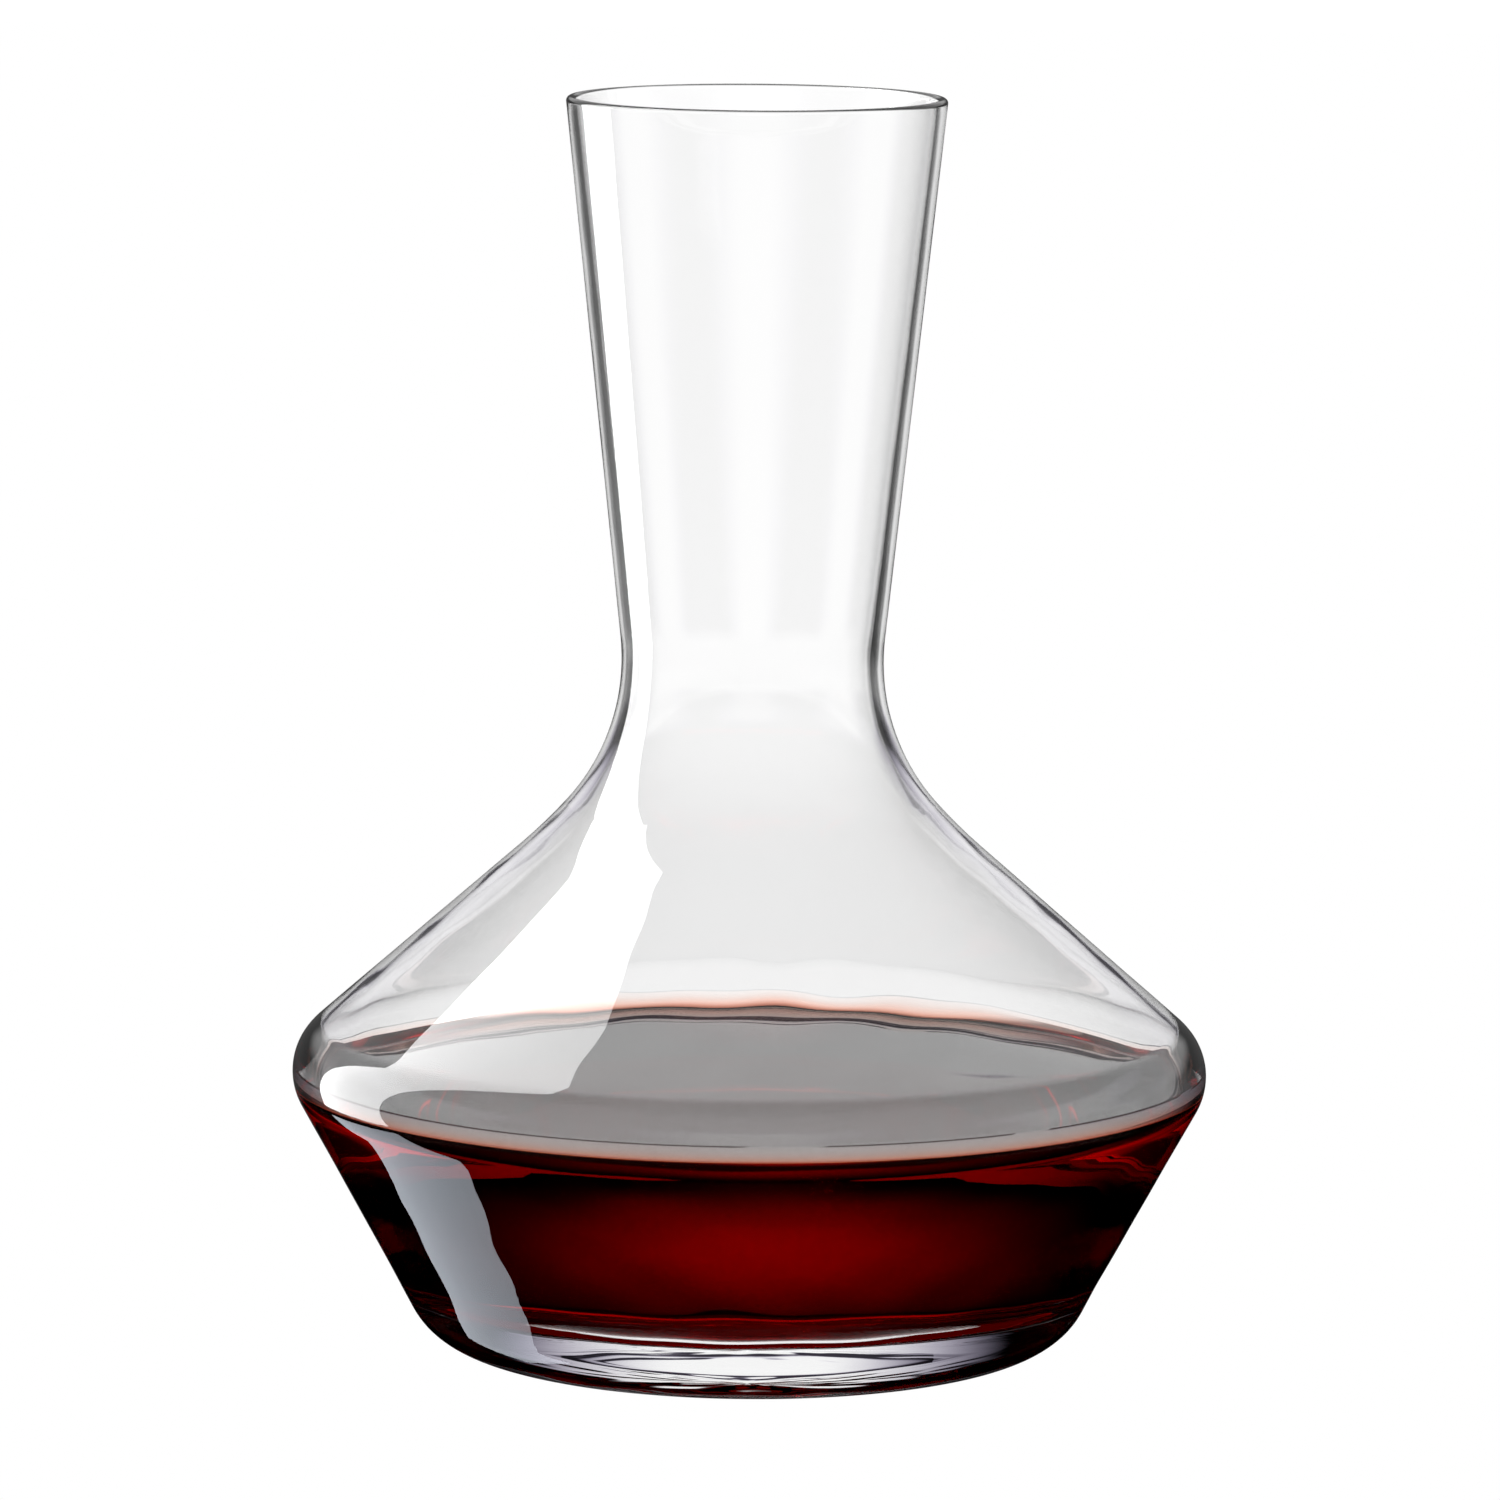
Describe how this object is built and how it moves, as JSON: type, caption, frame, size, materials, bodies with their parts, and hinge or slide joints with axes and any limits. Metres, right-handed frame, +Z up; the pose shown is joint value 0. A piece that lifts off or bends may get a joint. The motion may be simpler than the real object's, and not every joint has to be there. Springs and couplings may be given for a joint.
{
  "type": "wine decanter",
  "caption": "Stopperless glass wine decanter with a flared neck, sloping shoulders, a wide low belly and a thick clear foot, part filled with red wine.",
  "frame": {"origin": "centre of the foot, in the plane of the flat ring that it stands on", "axes": "+Z up along the decanter's axis of revolution, towards the mouth; X and Y are interchangeable"},
  "size_m": [0.178, 0.178, 0.2436],
  "materials": {
    "glass": "clear colourless glass, fire-polished, with faint blowing waves",
    "wine": "deep red liquid with a mirror-flat surface, lighter where it is thin at the edge"
  },
  "bodies": {
    "root": {"glass_vessel": "glass", "red_wine": "wine"}
  },
  "joints": []
}
